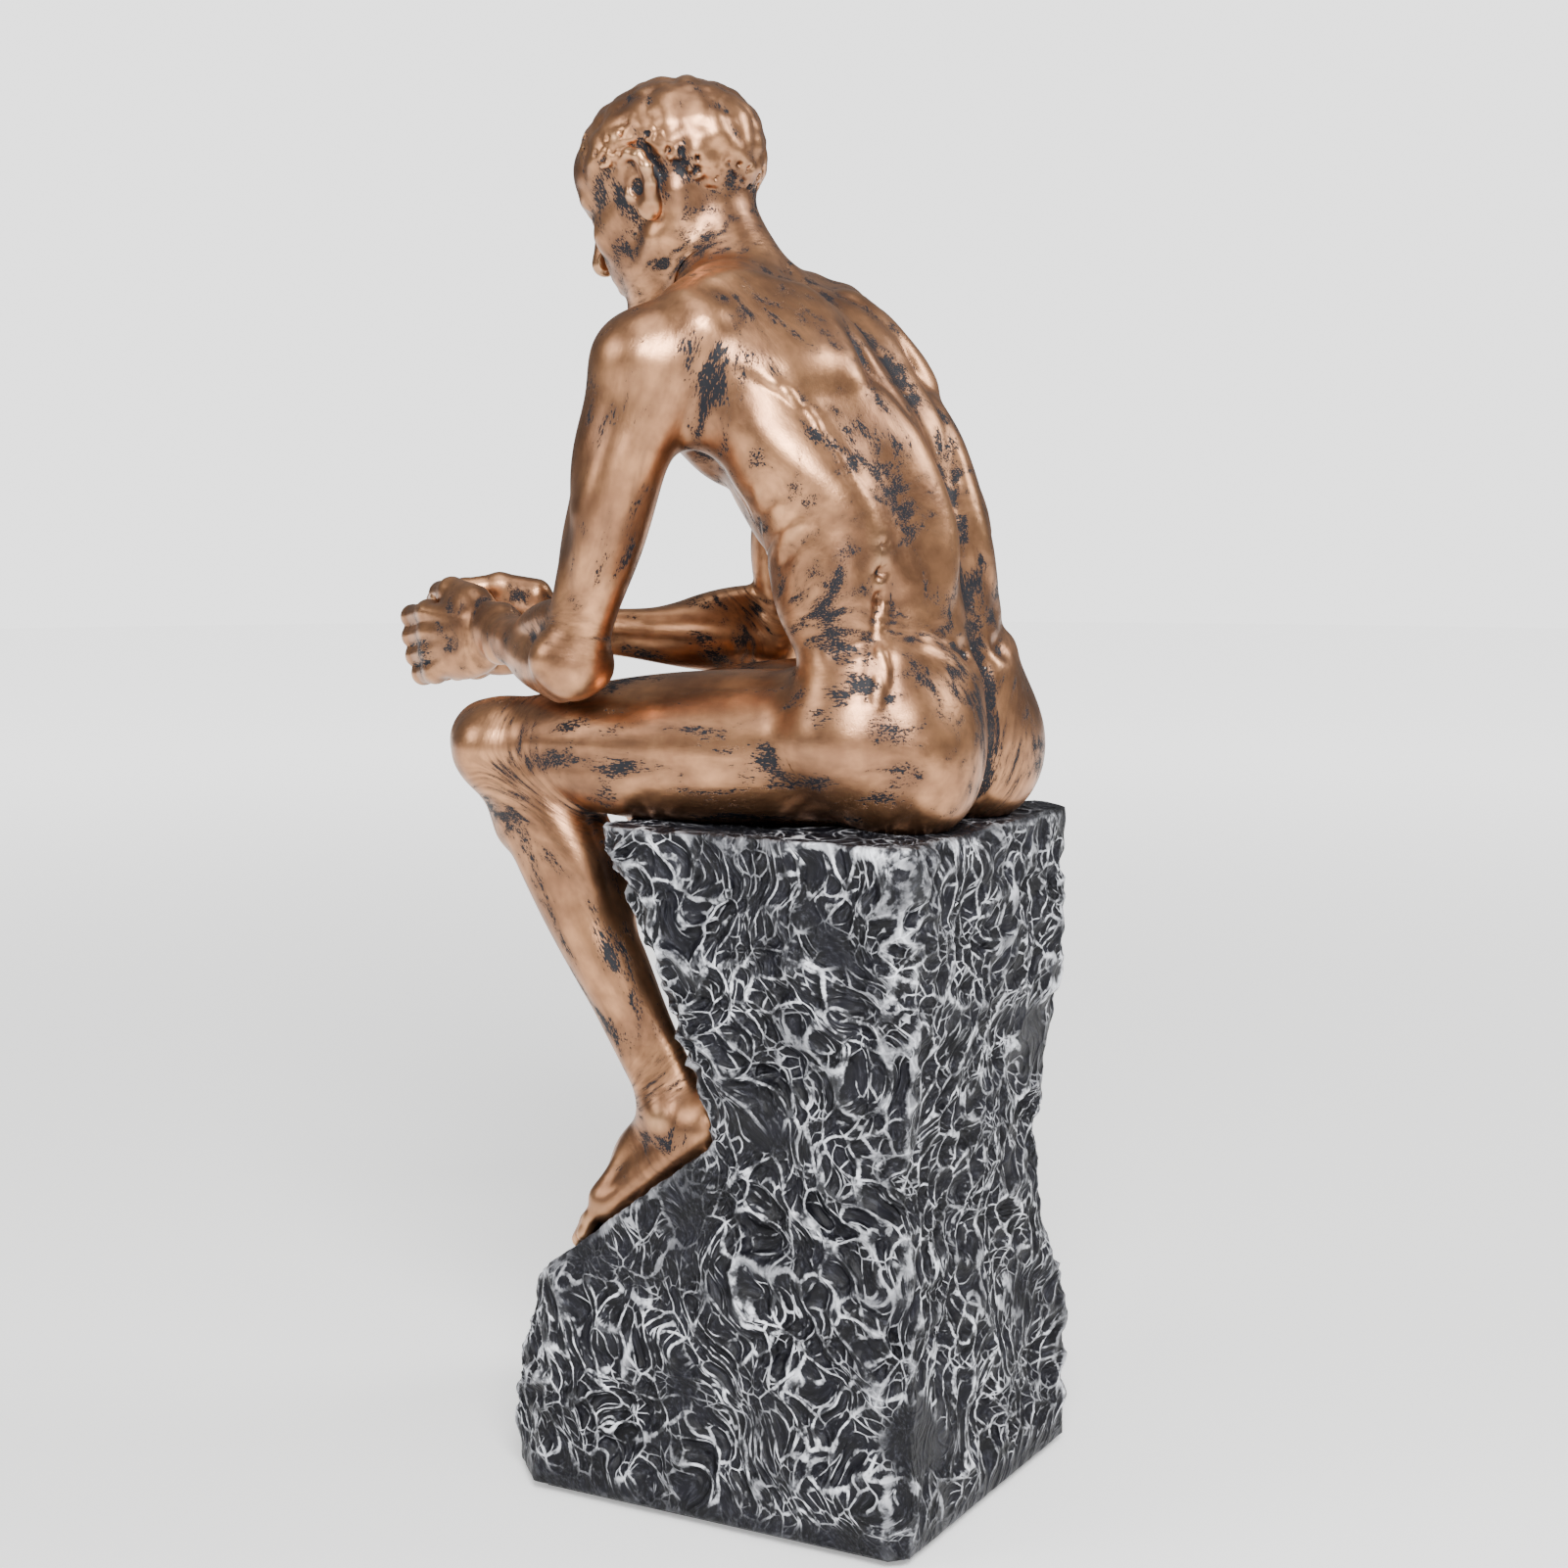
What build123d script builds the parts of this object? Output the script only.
from build123d import *
import os
from math import cos, radians, sin, sqrt

# A seated figure in thought on a rough rock, cast in filled resin as separate pieces that are pinned
# with steel dowels and glued. Millimetres. +Z is up, the figure faces -Y and its left side is +X.
# The origin lies on the surface that the felt stands on, under the middle of the rock's seat block.

# Fits
GLUE_GAP = 0.15
PIN_CLEARANCE = 0.10
OVERRUN = 200.0

# Felt pad under the rock
FELT_THICKNESS = 1.5
FELT_INSET = 3.0

# Rock: a seat block with a foot ledge in front of it
ROCK_HEIGHT = 122.5
ROCK_HALF_WIDTH = 38.0
ROCK_REAR_REACH = 42.0
SEAT_REACH = 45.0
LEDGE_LEFT_REACH = 68.0
LEDGE_RIGHT_REACH = 78.0
LEDGE_HEIGHT = 84.0
ROCK_WALL = 11.0
HOLLOW_HEIGHT = 92.0
HOLLOW_REACH = 25.0
HOLLOW_TAPER = 6.0
PLATE_THICKNESS = 5.0
PLATE_LIP = 4.0
BALLAST_HEIGHT = 60.0
DENT_RADIUS = 26.0
DENT_DEPTH = 1.8

# Pelvis and spine: the rise of each section along the spine, its lean, its half width and half depth
HIP_INSET = 17.0
HIP_ABOVE_SEAT = 15.0
SEAT_HALF_WIDTH = 26.0
SEAT_HALF_DEPTH = 16.5
PELVIS_HALF_WIDTH = 28.5
PELVIS_HALF_DEPTH = 18.0
WAIST_RISE = 26.0
WAIST_LEAN_ANGLE = 8.0
WAIST_HALF_WIDTH = 24.5
WAIST_HALF_DEPTH = 16.5
RIBS_RISE = 22.0
RIBS_LEAN_ANGLE = 25.0
RIBS_HALF_WIDTH = 28.0
RIBS_HALF_DEPTH = 19.5
CHEST_RISE = 20.0
CHEST_LEAN_ANGLE = 36.0
CHEST_HALF_WIDTH = 30.5
CHEST_HALF_DEPTH = 19.5
GIRDLE_RISE = 10.0
GIRDLE_LEAN_ANGLE = 42.0
GIRDLE_HALF_WIDTH = 28.5
GIRDLE_HALF_DEPTH = 14.5
COLLAR_RISE = 7.5
COLLAR_LEAN_ANGLE = 46.0
COLLAR_HALF_WIDTH = 15.0
COLLAR_HALF_DEPTH = 11.0

# Back and buttocks: the furrow down the spine, which deepens to the cleft, and the masses beside it
FURROW_RADIUS = 3.4
FURROW_DEPTH = 2.0
FURROW_END_RADIUS = 1.6
CLEFT_DEPTH = 4.0
BUTTOCK_ACROSS = 13.2
BUTTOCK_BEHIND = 5.6
BUTTOCK_BELOW = 3.5
BUTTOCK_HALF_WIDTH = 13.6
BUTTOCK_HALF_DEPTH = 12.4
BUTTOCK_HALF_HEIGHT = 13.5
BLADE_ACROSS = 14.0
BLADE_BEHIND = 10.6
BLADE_HALF_WIDTH = 9.5
BLADE_HALF_DEPTH = 8.4
BLADE_HALF_HEIGHT = 11.5
MASS_SEAM_ANGLE = 270.0

# Legs
HIP_HALF_SPACING = 15.5
HIP_RADIUS = 16.5
THIGH_LENGTH = 74.0
THIGH_SPLAY_ANGLE = 6.0
THIGH_DROP_ANGLE = 2.5
THIGH_ROOT_RADIUS = 15.5
THIGH_UPPER_RADIUS = 16.3
THIGH_LOWER_RADIUS = 12.8
KNEE_RADIUS = 10.0
SHIN_LENGTH = 74.0
CALF_RADIUS = 10.4
CALF_SETBACK = 2.5
SHIN_LOWER_RADIUS = 6.6
ANKLE_RADIUS = 5.2
LEFT_SHIN_SLANT_ANGLE = 29.0
RIGHT_SHIN_SLANT_ANGLE = 21.0
LEFT_FOOT_PITCH_ANGLE = 38.0
RIGHT_FOOT_PITCH_ANGLE = 26.0
ANKLE_HEIGHT = 11.0
HEEL_LENGTH = 10.0
FOOT_REACH = 34.0
HEEL_HALF_WIDTH = 6.0
BALL_HALF_WIDTH = 8.6
TOE_HALF_WIDTH = 7.2
INSTEP_HEIGHT = 12.0
BALL_HEIGHT = 7.0
TOE_HEIGHT = 4.2
THIGH_SHARES = (0, 0.3, 0.7, 1)
SHIN_SHARES = (0, 0.3, 0.7, 1)
HEEL_END_SHARE = 0.5
INSTEP_SHARE = 0.25
BALL_SHARE = 0.67

# Arms: the hands meet in front of the knees, and the elbow hangs outwards and down
SHOULDER_HALF_SPACING = 32.5
SHOULDER_AHEAD = 5.0
SHOULDER_BELOW = 3.0
SHOULDER_PIN_HALF_SPACING = 25.5
DELTOID_RADIUS = 10.4
UPPER_ARM_LENGTH = 54.0
FOREARM_LENGTH = 44.0
ARM_MIDDLE_RADIUS = 8.6
ELBOW_RADIUS = 6.6
FOREARM_RADIUS = 7.4
FOREARM_LOWER_RADIUS = 6.0
WRIST_RADIUS = 4.6
WRIST_AHEAD = 10.0
WRIST_ABOVE_KNEE = 20.5
WRIST_HALF_SPACING = 10.5
ELBOW_POLE_SHARES = (0.5, 0.42, -0.66)
UPPER_ARM_SHARES = (0, 0.55, 1)
FOREARM_SHARES = (0, 0.3, 0.65, 1)
HAND_SHARES = (0, 0.5, 1)
LIMB_END_SHARE = 0.93
HAND_LENGTH = 19.0
KNUCKLE_HALF_SPACING = 6.2
HAND_DROP = 3.0
PALM_RADIUS = 7.6

# Head and neck
NECK_RISE = 9.0
NECK_LEAN_ANGLE = 42.0
NECK_RADIUS = 9.8
NECK_SHARES = (0, 0.5, 1)
HEAD_PITCH_ANGLE = 24.0
HEAD_AHEAD = 8.0
HEAD_ABOVE_NECK = 19.0
SKULL_HALF_WIDTH = 14.6
SKULL_HALF_DEPTH = 18.0
SKULL_HALF_HEIGHT = 16.0
JAW_HALF_WIDTH = 10.6
JAW_HALF_DEPTH = 11.5
JAW_HALF_HEIGHT = 15.0
JAW_AHEAD = 6.5
JAW_BELOW = 9.0
NOSE_HALF_WIDTH = 2.6
NOSE_HALF_DEPTH = 4.0
NOSE_HALF_HEIGHT = 4.6
NOSE_BELOW = 6.5
EAR_HALF_WIDTH = 2.0
EAR_HALF_DEPTH = 3.6
EAR_HALF_HEIGHT = 5.4
SKULL_SEAM_ANGLE = 130.0
EAR_SEAM_ANGLES = {"left": 0, "right": 180}

# Steel dowels
SEAT_PIN_RADIUS = 2.5
SEAT_PIN_LENGTH = 24.0
SEAT_PIN_HALF_SPACING = 11.0
HIP_PIN_RADIUS = 2.0
HIP_PIN_LENGTH = 22.0
SHOULDER_PIN_RADIUS = 1.5
SHOULDER_PIN_LENGTH = 13.0
NECK_PIN_RADIUS = 2.0
NECK_PIN_LENGTH = 18.0
FOOT_PIN_RADIUS = 1.25
FOOT_PIN_LENGTH = 14.0

# Worked-out heights and places
SEAT_Z = FELT_THICKNESS + ROCK_HEIGHT
HIP_Y = ROCK_REAR_REACH - HIP_INSET
HIP_Z = SEAT_Z + HIP_ABOVE_SEAT


def away(start, length, lean):
    """The point at a distance from start, leaning forward from vertical by an angle in degrees."""
    return start + Vector(0, -length * sin(radians(lean)), length * cos(radians(lean)))


PELVIS = Vector(0, HIP_Y, HIP_Z)
WAIST = away(PELVIS, WAIST_RISE, WAIST_LEAN_ANGLE)
RIBS = away(WAIST, RIBS_RISE, RIBS_LEAN_ANGLE)
CHEST = away(RIBS, CHEST_RISE, CHEST_LEAN_ANGLE)
GIRDLE = away(CHEST, GIRDLE_RISE, GIRDLE_LEAN_ANGLE)
COLLAR = away(GIRDLE, COLLAR_RISE, COLLAR_LEAN_ANGLE)
NECK = away(COLLAR, NECK_RISE, NECK_LEAN_ANGLE)
HEAD = NECK + Vector(0, -HEAD_AHEAD, HEAD_ABOVE_NECK)


def hip_place(side):
    """The hip joint on one side: 1 is the figure's left and -1 its right."""
    return Vector(side * HIP_HALF_SPACING, HIP_Y, HIP_Z)


def thigh_run(side):
    """Unit vector from hip to knee."""
    flat = cos(radians(THIGH_DROP_ANGLE))
    return Vector(
        side * flat * sin(radians(THIGH_SPLAY_ANGLE)),
        -flat * cos(radians(THIGH_SPLAY_ANGLE)),
        -sin(radians(THIGH_DROP_ANGLE)),
    )


def knee_place(side):
    return hip_place(side) + thigh_run(side) * THIGH_LENGTH


def shin_run(slant):
    """Unit vector from knee to ankle, drawn back under the knee by the slant."""
    return Vector(0, sin(radians(slant)), -cos(radians(slant)))


def ankle_place(side, slant):
    return knee_place(side) + shin_run(slant) * SHIN_LENGTH


def sole_plane(side, slant, pitch):
    """The plane of one sole, under the ankle. Its Z points out of the rock and its -Y to the toes."""
    normal = Vector(0, -sin(radians(pitch)), cos(radians(pitch)))
    return Plane(ankle_place(side, slant) - normal * ANKLE_HEIGHT, x_dir=(1, 0, 0), z_dir=normal)


def shoulder_place(side):
    return GIRDLE + Vector(side * SHOULDER_HALF_SPACING, -SHOULDER_AHEAD, -SHOULDER_BELOW)


def wrist_place(side):
    knee = knee_place(side)
    return Vector(side * WRIST_HALF_SPACING, knee.Y - WRIST_AHEAD, knee.Z + WRIST_ABOVE_KNEE)


def elbow_place(side):
    """Where two bones of fixed length meet between shoulder and wrist, swung towards the elbow's pole."""
    shoulder = shoulder_place(side)
    reach = wrist_place(side) - shoulder
    span = reach.length
    along = reach / span
    run = (UPPER_ARM_LENGTH**2 - FOREARM_LENGTH**2 + span**2) / (2 * span)
    swing = sqrt(UPPER_ARM_LENGTH**2 - run**2)
    pole = Vector(side * ELBOW_POLE_SHARES[0], ELBOW_POLE_SHARES[1], ELBOW_POLE_SHARES[2])
    pole = (pole - along * pole.dot(along)).normalized()
    return shoulder + along * run + pole * swing


def knuckle_place(side):
    inward = WRIST_HALF_SPACING - KNUCKLE_HALF_SPACING
    return wrist_place(side) + Vector(-side * inward, -HAND_LENGTH, -HAND_DROP)


def round_limb(start, end, shares, radii, seam, setback=Vector(0, 0, 0)):
    """A limb lofted through circles at shares of its length, with its seam turned to a given side.
    setback moves the middle sections, and the ends are drawn in to lie within the joints' balls."""
    run = end - start
    with BuildPart() as limb:
        for share, radius in zip(shares, radii):
            at_end = share in (shares[0], shares[-1])
            place = start + run * share if at_end else start + run * share + setback
            with BuildSketch(Plane(place, x_dir=seam, z_dir=run)):
                Circle(radius * LIMB_END_SHARE if at_end else radius)
        loft()
    return limb.part


def ball(place, radius, seam):
    """A sphere with its seam turned to a given side."""
    with BuildPart(Plane(place, x_dir=seam)) as sphere:
        Sphere(radius)
    return sphere.part


def ellipsoid(plane, half_width, half_depth, half_height, seam_turn):
    """A closed egg of three half sizes, in a plane's own directions, with its seam turned from its X."""
    with BuildPart() as egg:
        Sphere(1, rotation=(0, 0, seam_turn))
        scale(by=(half_width, half_depth, half_height))
    return plane * egg.part


def dowel(plane, radius, length):
    """A round pin centred on a joint, along the plane's Z."""
    with BuildPart(plane) as pin:
        Cylinder(radius, length)
    return pin.part


def dowel_hole(plane, radius, length):
    return dowel(plane, radius + PIN_CLEARANCE, length + 2 * PIN_CLEARANCE)


def half_space(plane):
    """A large block on the positive side of a plane."""
    with BuildPart(plane) as block:
        Box(2 * OVERRUN, 2 * OVERRUN, OVERRUN, align=(Align.CENTER, Align.CENTER, Align.MIN))
    return block.part


# Places of the joints
SIDES = {"left": 1, "right": -1}
SHIN_SLANTS = {"left": LEFT_SHIN_SLANT_ANGLE, "right": RIGHT_SHIN_SLANT_ANGLE}
FOOT_PITCHES = {"left": LEFT_FOOT_PITCH_ANGLE, "right": RIGHT_FOOT_PITCH_ANGLE}
BELOW_SEAT = Plane(Vector(0, 0, SEAT_Z), z_dir=(0, 0, -1))
NECK_PLANE = Plane(COLLAR, x_dir=(1, 0, 0), z_dir=away(COLLAR, COLLAR_RISE, COLLAR_LEAN_ANGLE) - COLLAR)
BELOW_NECK = Plane(COLLAR, x_dir=(1, 0, 0), z_dir=-NECK_PLANE.z_dir)
SOLE_PLANES = {name: sole_plane(SIDES[name], SHIN_SLANTS[name], FOOT_PITCHES[name]) for name in SIDES}
SHOULDER_PLANES = {
    name: Plane(
        Vector(side * SHOULDER_PIN_HALF_SPACING, shoulder_place(side).Y, shoulder_place(side).Z),
        x_dir=(0, 1, 0),
        z_dir=(side, 0, 0),
    )
    for name, side in SIDES.items()
}
HIP_PLANES = {
    name: Plane(hip_place(side) + thigh_run(side) * HIP_RADIUS, x_dir=(1, 0, 0), z_dir=thigh_run(side))
    for name, side in SIDES.items()
}
SEAT_PIN_PLANES = [Plane(Vector(side * SEAT_PIN_HALF_SPACING, HIP_Y, SEAT_Z)) for side in SIDES.values()]


# Rock
# Rows of the seat block: height share, front share of the reach ahead of the hips, rear share of the
# reach behind the origin, left and right shares of the half width, and corner share.
BLOCK_ROW_SHARES = [
    (0.00, 0.54, 1.00, 1.00, 1.00, 0.16),
    (0.22, 0.52, 0.99, 0.98, 1.00, 0.22),
    (0.42, 0.50, 0.92, 0.94, 0.92, 0.26),
    (0.62, 0.56, 0.93, 0.92, 0.92, 0.20),
    (0.82, 0.80, 0.99, 0.96, 0.95, 0.16),
    (1.00, 1.00, 0.99, 0.97, 0.96, 0.14),
]
# Rows of the ledge: height share, then the share of its reach ahead of the hips and of its half width.
LEDGE_ROW_SHARES = [(0.00, 1.00, 1.00), (0.12, 0.99, 0.99), (0.50, 0.935, 0.95), (1.00, 0.71, 0.86)]
LEDGE_CORNER_SHARE = 0.24
# Dents on each side: share of the seat's reach ahead of the hips, and height share.
SIDE_DENT_SHARES = [
    (-0.06, 0.86),
    (0.48, 0.87),
    (0.16, 0.68),
    (-0.10, 0.51),
    (0.32, 0.47),
    (0.10, 0.30),
    (0.64, 0.28),
    (-0.12, 0.14),
    (0.40, 0.12),
    (0.92, 0.13),
]
# Dents at the rear: share of the half width, and height share.
REAR_DENT_SHARES = [
    (-0.50, 0.85),
    (0.30, 0.87),
    (0.55, 0.66),
    (-0.10, 0.67),
    (-0.56, 0.50),
    (0.28, 0.46),
    (-0.20, 0.30),
    (0.58, 0.26),
    (-0.58, 0.14),
    (0.12, 0.12),
]


def block_outline(front, rear, left, right, corner):
    """Corner points of one level of the seat block, with its four corners cut off unevenly."""
    near, far = HIP_Y - front * SEAT_REACH, rear * ROCK_REAR_REACH
    east, west = left * ROCK_HALF_WIDTH, -right * ROCK_HALF_WIDTH
    cut = corner * ROCK_HALF_WIDTH
    return [
        (east - cut / 2, near),
        (east, near + cut),
        (east, far - cut / 2),
        (east - cut / 2, far),
        (west + cut, far),
        (west, far - cut),
        (west, near + cut),
        (west + cut / 2, near),
    ]


def ledge_outline(reach, width):
    """Corner points of one level of the ledge, which reaches further out under the right foot."""
    half = width * ROCK_HALF_WIDTH
    left_front, right_front = HIP_Y - reach * LEDGE_LEFT_REACH, HIP_Y - reach * LEDGE_RIGHT_REACH
    cut = LEDGE_CORNER_SHARE * half
    return [
        (half, HIP_Y),
        (half, left_front + cut),
        (half - cut, left_front),
        (cut - half, right_front),
        (-half, right_front + cut),
        (-half, HIP_Y),
    ]


def face_share(height, column):
    """One of the seat block's shares at a height share, between its rows."""
    for low, high in zip(BLOCK_ROW_SHARES, BLOCK_ROW_SHARES[1:]):
        if height <= high[0]:
            return low[column] + (high[column] - low[column]) * (height - low[0]) / (high[0] - low[0])


def dent_places():
    """Centres of the balls that dent the sides and the rear, each with its outward direction."""
    stand_off = DENT_RADIUS - DENT_DEPTH
    for side, column in ((1, 3), (-1, 4)):
        for ahead, height in SIDE_DENT_SHARES:
            face = face_share(height, column) * ROCK_HALF_WIDTH
            z = FELT_THICKNESS + height * ROCK_HEIGHT
            yield Vector(side * (face + stand_off), HIP_Y - ahead * SEAT_REACH, z), (side, 0, 0)
    for across, height in REAR_DENT_SHARES:
        face = face_share(height, 2) * ROCK_REAR_REACH
        z = FELT_THICKNESS + height * ROCK_HEIGHT
        yield Vector(across * ROCK_HALF_WIDTH, face + stand_off, z), (0, 1, 0)


with BuildPart() as seat_block:
    for height, front, rear, left, right, corner in BLOCK_ROW_SHARES:
        with BuildSketch(Plane.XY.offset(FELT_THICKNESS + height * ROCK_HEIGHT)):
            Polygon(*block_outline(front, rear, left, right, corner), align=None)
    loft(ruled=True)

with BuildPart() as foot_ledge:
    for height, reach, width in LEDGE_ROW_SHARES:
        with BuildSketch(Plane.XY.offset(FELT_THICKNESS + height * LEDGE_HEIGHT)):
            Polygon(*ledge_outline(reach, width), align=None)
    loft(ruled=True)

# Each half of the ledge is dressed down to the plane of the foot that stands on it.
with BuildPart() as above_soles:
    for name, side in SIDES.items():
        with BuildSketch(SOLE_PLANES[name]):
            with Locations((-SOLE_PLANES[name].origin.X + side * OVERRUN / 2, 0)):
                Rectangle(OVERRUN, 2 * OVERRUN)
        extrude(amount=OVERRUN)

HOLLOW_HALF_WIDTH = ROCK_HALF_WIDTH - ROCK_WALL
HOLLOW_HALF_DEPTH = (HOLLOW_REACH + HIP_INSET - ROCK_WALL) / 2
HOLLOW_CENTRE_Y = HIP_Y - HOLLOW_REACH + HOLLOW_HALF_DEPTH


def tapered_block(bottom_z, height, gap):
    """The hollow's shape from a given height up, drawn in by a gap all round."""
    with BuildPart() as block:
        for rise in (0, height):
            drawn_in = gap + HOLLOW_TAPER * (bottom_z - FELT_THICKNESS + rise) / HOLLOW_HEIGHT
            with BuildSketch(Plane(Vector(0, HOLLOW_CENTRE_Y, bottom_z + rise))):
                Rectangle(2 * (HOLLOW_HALF_WIDTH - drawn_in), 2 * (HOLLOW_HALF_DEPTH - drawn_in))
        loft(ruled=True)
    return block.part


HOLLOW = tapered_block(FELT_THICKNESS, HOLLOW_HEIGHT, 0)
PLATE_HALF_WIDTH = HOLLOW_HALF_WIDTH + PLATE_LIP
PLATE_HALF_DEPTH = HOLLOW_HALF_DEPTH + PLATE_LIP

with BuildPart() as rock_base:
    add(foot_ledge.part)
    add(above_soles.part, mode=Mode.SUBTRACT)
    add(seat_block.part)
    for place, outward in dent_places():
        add(ball(place, DENT_RADIUS, outward), mode=Mode.SUBTRACT)
    add(HOLLOW, mode=Mode.SUBTRACT)
    with BuildSketch(Plane(Vector(0, HOLLOW_CENTRE_Y, FELT_THICKNESS))):
        Rectangle(2 * PLATE_HALF_WIDTH, 2 * PLATE_HALF_DEPTH)
    extrude(amount=PLATE_THICKNESS, mode=Mode.SUBTRACT)
    for plane in SEAT_PIN_PLANES:
        add(dowel_hole(plane, SEAT_PIN_RADIUS, SEAT_PIN_LENGTH), mode=Mode.SUBTRACT)
    for plane in SOLE_PLANES.values():
        add(dowel_hole(plane, FOOT_PIN_RADIUS, FOOT_PIN_LENGTH), mode=Mode.SUBTRACT)

with BuildPart() as base_plate:
    with BuildSketch(Plane(Vector(0, HOLLOW_CENTRE_Y, FELT_THICKNESS))):
        Rectangle(2 * (PLATE_HALF_WIDTH - GLUE_GAP), 2 * (PLATE_HALF_DEPTH - GLUE_GAP))
    extrude(amount=PLATE_THICKNESS - GLUE_GAP)

BALLAST = tapered_block(FELT_THICKNESS + PLATE_THICKNESS, BALLAST_HEIGHT, GLUE_GAP)

with BuildPart() as ballast:
    add(BALLAST)

with BuildPart() as felt_pad:
    with BuildSketch():
        Polygon(*ledge_outline(1, 1), align=None)
        Polygon(*block_outline(*BLOCK_ROW_SHARES[0][1:]), align=None)
        offset(amount=-FELT_INSET)
    extrude(amount=FELT_THICKNESS)


# Torso
# Sections up the spine: place, lean, half width and half depth.
SPINE_SECTIONS = [
    (Vector(0, HIP_Y, SEAT_Z), 0, SEAT_HALF_WIDTH, SEAT_HALF_DEPTH),
    (PELVIS, 0, PELVIS_HALF_WIDTH, PELVIS_HALF_DEPTH),
    (WAIST, WAIST_LEAN_ANGLE, WAIST_HALF_WIDTH, WAIST_HALF_DEPTH),
    (RIBS, RIBS_LEAN_ANGLE, RIBS_HALF_WIDTH, RIBS_HALF_DEPTH),
    (CHEST, CHEST_LEAN_ANGLE, CHEST_HALF_WIDTH, CHEST_HALF_DEPTH),
    (GIRDLE, GIRDLE_LEAN_ANGLE, GIRDLE_HALF_WIDTH, GIRDLE_HALF_DEPTH),
    (COLLAR, COLLAR_LEAN_ANGLE, COLLAR_HALF_WIDTH, COLLAR_HALF_DEPTH),
]

with BuildPart() as torso:
    for place, lean, half_width, half_depth in SPINE_SECTIONS:
        upward = Vector(0, -sin(radians(lean)), cos(radians(lean)))
        rearward = Vector(0, cos(radians(lean)), sin(radians(lean)))
        with BuildSketch(Plane(place, x_dir=rearward, z_dir=upward)):
            Ellipse(half_depth, half_width)
    loft()
    for side in SIDES.values():
        add(ball(hip_place(side), HIP_RADIUS, (side, 0, 0)))
    add(half_space(BELOW_SEAT), mode=Mode.SUBTRACT)
TORSO_FORM = torso.part

# The furrow's sections: those of the spine, with depth and radius at each.
FURROW_SECTIONS = [
    (*SPINE_SECTIONS[0], CLEFT_DEPTH, FURROW_RADIUS),
    (*SPINE_SECTIONS[1], CLEFT_DEPTH, FURROW_RADIUS),
    *((*section, FURROW_DEPTH, FURROW_RADIUS) for section in SPINE_SECTIONS[2:5]),
    (*SPINE_SECTIONS[5], FURROW_DEPTH, FURROW_END_RADIUS),
]

with BuildPart() as furrow:
    for place, lean, half_width, half_depth, depth, radius in FURROW_SECTIONS:
        upward = Vector(0, -sin(radians(lean)), cos(radians(lean)))
        rearward = Vector(0, cos(radians(lean)), sin(radians(lean)))
        centre = place + rearward * (half_depth - depth + radius)
        with BuildSketch(Plane(centre, x_dir=rearward, z_dir=upward)):
            Circle(radius)
    loft()

with torso:
    for side in SIDES.values():
        buttock = Plane(PELVIS + Vector(side * BUTTOCK_ACROSS, BUTTOCK_BEHIND, -BUTTOCK_BELOW))
        add(
            ellipsoid(
                buttock, BUTTOCK_HALF_WIDTH, BUTTOCK_HALF_DEPTH, BUTTOCK_HALF_HEIGHT, MASS_SEAM_ANGLE
            )
        )
        spine_up = Vector(0, -sin(radians(CHEST_LEAN_ANGLE)), cos(radians(CHEST_LEAN_ANGLE)))
        chest = Plane(CHEST, x_dir=(1, 0, 0), z_dir=spine_up)
        blade_place = chest.from_local_coords((side * BLADE_ACROSS, BLADE_BEHIND, 0))
        blade = Plane(blade_place, x_dir=(1, 0, 0), z_dir=spine_up)
        add(ellipsoid(blade, BLADE_HALF_WIDTH, BLADE_HALF_DEPTH, BLADE_HALF_HEIGHT, MASS_SEAM_ANGLE))
    add(furrow.part, mode=Mode.SUBTRACT)
    add(half_space(BELOW_SEAT), mode=Mode.SUBTRACT)
    for plane in SEAT_PIN_PLANES:
        add(dowel_hole(plane, SEAT_PIN_RADIUS, SEAT_PIN_LENGTH), mode=Mode.SUBTRACT)
    for plane in HIP_PLANES.values():
        add(dowel_hole(plane, HIP_PIN_RADIUS, HIP_PIN_LENGTH), mode=Mode.SUBTRACT)
    for plane in SHOULDER_PLANES.values():
        add(dowel_hole(plane, SHOULDER_PIN_RADIUS, SHOULDER_PIN_LENGTH), mode=Mode.SUBTRACT)
    add(dowel_hole(NECK_PLANE, NECK_PIN_RADIUS, NECK_PIN_LENGTH), mode=Mode.SUBTRACT)

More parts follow.
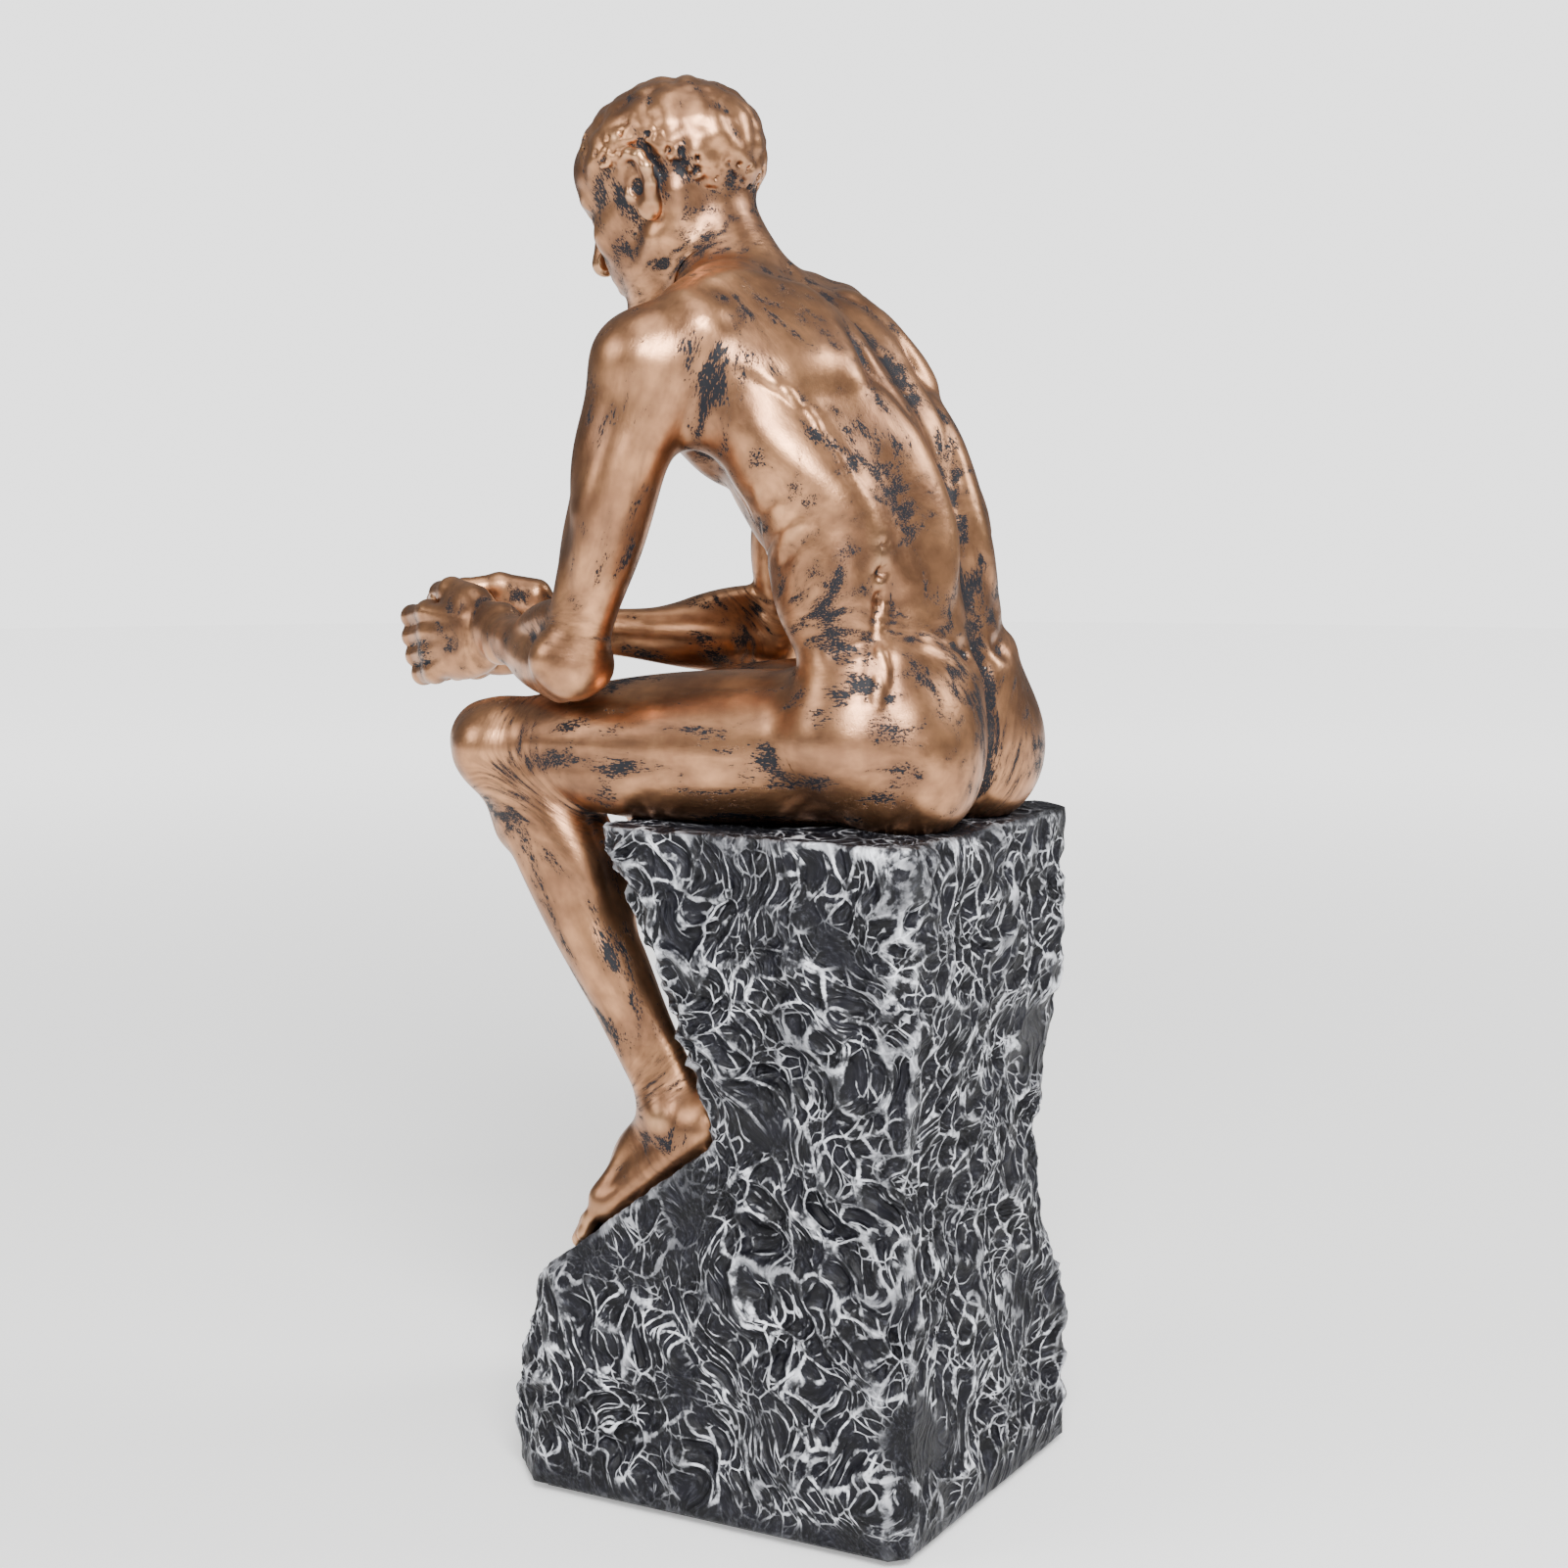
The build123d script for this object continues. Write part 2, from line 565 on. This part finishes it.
# Legs
legs = {}
for name, side in SIDES.items():
    outward = (side, 0, 0)
    hip, knee = hip_place(side), knee_place(side)
    ankle, sole = ankle_place(side, SHIN_SLANTS[name]), SOLE_PLANES[name]
    with BuildPart() as foot:
        for place, half_width, height in (
            (HEEL_LENGTH, HEEL_HALF_WIDTH * HEEL_END_SHARE, ANKLE_HEIGHT * HEEL_END_SHARE),
            (HEEL_LENGTH * HEEL_END_SHARE, HEEL_HALF_WIDTH, ANKLE_HEIGHT),
            (-FOOT_REACH * INSTEP_SHARE, (HEEL_HALF_WIDTH + BALL_HALF_WIDTH) / 2, INSTEP_HEIGHT),
            (-FOOT_REACH * BALL_SHARE, BALL_HALF_WIDTH, BALL_HEIGHT),
            (-FOOT_REACH, TOE_HALF_WIDTH, TOE_HEIGHT),
        ):
            section = Plane(sole.from_local_coords((0, place, 0)), x_dir=(1, 0, 0), z_dir=-sole.y_dir)
            with BuildSketch(section):
                Ellipse(half_width, height)
        loft()
        split(bisect_by=sole, keep=Keep.TOP)
    with BuildPart() as leg:
        add(
            round_limb(
                hip,
                knee,
                THIGH_SHARES,
                (THIGH_ROOT_RADIUS, THIGH_UPPER_RADIUS, THIGH_LOWER_RADIUS, KNEE_RADIUS),
                outward,
            )
        )
        add(ball(knee, KNEE_RADIUS, outward))
        add(
            round_limb(
                knee,
                ankle,
                SHIN_SHARES,
                (KNEE_RADIUS, CALF_RADIUS, SHIN_LOWER_RADIUS, ANKLE_RADIUS),
                outward,
                setback=Vector(0, CALF_SETBACK, 0),
            )
        )
        add(ball(ankle, ANKLE_RADIUS, outward))
        add(foot.part)
        add(TORSO_FORM, mode=Mode.SUBTRACT)
        add(rock_base.part, mode=Mode.SUBTRACT)
        add(dowel_hole(HIP_PLANES[name], HIP_PIN_RADIUS, HIP_PIN_LENGTH), mode=Mode.SUBTRACT)
        add(dowel_hole(sole, FOOT_PIN_RADIUS, FOOT_PIN_LENGTH), mode=Mode.SUBTRACT)
    legs[name] = leg.part

# Arms, each the other's mirror image. A forearm that would reach into the thigh it rests on is cut to fit.
LEFT = SIDES["left"]
OUTWARD = (LEFT, 0, 0)
SHOULDER, ELBOW, WRIST, KNUCKLE = (
    place(LEFT) for place in (shoulder_place, elbow_place, wrist_place, knuckle_place)
)

with BuildPart() as left_arm:
    add(ball(SHOULDER, DELTOID_RADIUS, OUTWARD))
    add(
        round_limb(
            SHOULDER, ELBOW, UPPER_ARM_SHARES, (DELTOID_RADIUS, ARM_MIDDLE_RADIUS, ELBOW_RADIUS), OUTWARD
        )
    )
    add(ball(ELBOW, ELBOW_RADIUS, OUTWARD))
    add(
        round_limb(
            ELBOW,
            WRIST,
            FOREARM_SHARES,
            (ELBOW_RADIUS, FOREARM_RADIUS, FOREARM_LOWER_RADIUS, WRIST_RADIUS),
            OUTWARD,
        )
    )
    add(ball(WRIST, WRIST_RADIUS, OUTWARD))
    add(round_limb(WRIST, KNUCKLE, HAND_SHARES, (WRIST_RADIUS, PALM_RADIUS, PALM_RADIUS), OUTWARD))
    add(ball(KNUCKLE, PALM_RADIUS, OUTWARD))
    add(half_space(Plane(Vector(0, 0, 0), z_dir=(-LEFT, 0, 0))), mode=Mode.SUBTRACT)
    add(TORSO_FORM, mode=Mode.SUBTRACT)
    add(legs["left"], mode=Mode.SUBTRACT)
    add(dowel_hole(SHOULDER_PLANES["left"], SHOULDER_PIN_RADIUS, SHOULDER_PIN_LENGTH), mode=Mode.SUBTRACT)

with BuildPart() as right_arm:
    mirror(left_arm.part, about=Plane.YZ)

# Head
FACE_UP = Vector(0, -sin(radians(HEAD_PITCH_ANGLE)), cos(radians(HEAD_PITCH_ANGLE)))
HEAD_PLANE = Plane(HEAD, x_dir=(1, 0, 0), z_dir=FACE_UP)


def head_egg(across, behind, above, half_width, half_depth, half_height, seam_turn=SKULL_SEAM_ANGLE):
    """An egg placed in the head's own directions."""
    plane = Plane(HEAD_PLANE.from_local_coords((across, behind, above)), x_dir=(1, 0, 0), z_dir=FACE_UP)
    return ellipsoid(plane, half_width, half_depth, half_height, seam_turn)


EAR_SIZES = (EAR_HALF_WIDTH, EAR_HALF_DEPTH, EAR_HALF_HEIGHT)

with BuildPart() as head:
    add(round_limb(GIRDLE, HEAD, NECK_SHARES, [NECK_RADIUS for share in NECK_SHARES], (1, 0, 0)))
    add(head_egg(0, 0, 0, SKULL_HALF_WIDTH, SKULL_HALF_DEPTH, SKULL_HALF_HEIGHT))
    add(head_egg(0, -JAW_AHEAD, -JAW_BELOW, JAW_HALF_WIDTH, JAW_HALF_DEPTH, JAW_HALF_HEIGHT))
    add(head_egg(0, -SKULL_HALF_DEPTH, -NOSE_BELOW, NOSE_HALF_WIDTH, NOSE_HALF_DEPTH, NOSE_HALF_HEIGHT))
    for name, side in SIDES.items():
        ear_place = (side * SKULL_HALF_WIDTH, EAR_HALF_DEPTH, -EAR_HALF_HEIGHT)
        add(head_egg(*ear_place, *EAR_SIZES, EAR_SEAM_ANGLES[name]))
    add(half_space(BELOW_NECK), mode=Mode.SUBTRACT)
    add(dowel_hole(NECK_PLANE, NECK_PIN_RADIUS, NECK_PIN_LENGTH), mode=Mode.SUBTRACT)


# Dowels
def dowels(planes, radius, length):
    with BuildPart() as pins:
        for plane in planes:
            add(dowel(plane, radius, length))
    return pins.part


PIECES = {
    "rock_base": rock_base.part,
    "base_plate": base_plate.part,
    "ballast": ballast.part,
    "felt_pad": felt_pad.part,
    "torso": torso.part,
    "head": head.part,
    "left_arm": left_arm.part,
    "right_arm": right_arm.part,
    "left_leg": legs["left"],
    "right_leg": legs["right"],
    "seat_pins": dowels(SEAT_PIN_PLANES, SEAT_PIN_RADIUS, SEAT_PIN_LENGTH),
    "hip_pins": dowels(HIP_PLANES.values(), HIP_PIN_RADIUS, HIP_PIN_LENGTH),
    "shoulder_pins": dowels(SHOULDER_PLANES.values(), SHOULDER_PIN_RADIUS, SHOULDER_PIN_LENGTH),
    "neck_pin": dowels([NECK_PLANE], NECK_PIN_RADIUS, NECK_PIN_LENGTH),
    "foot_pins": dowels(SOLE_PLANES.values(), FOOT_PIN_RADIUS, FOOT_PIN_LENGTH),
}

os.makedirs("parts", exist_ok=True)
for name, piece in PIECES.items():
    piece.label = name
    export_step(piece, f"parts/{name}.step")
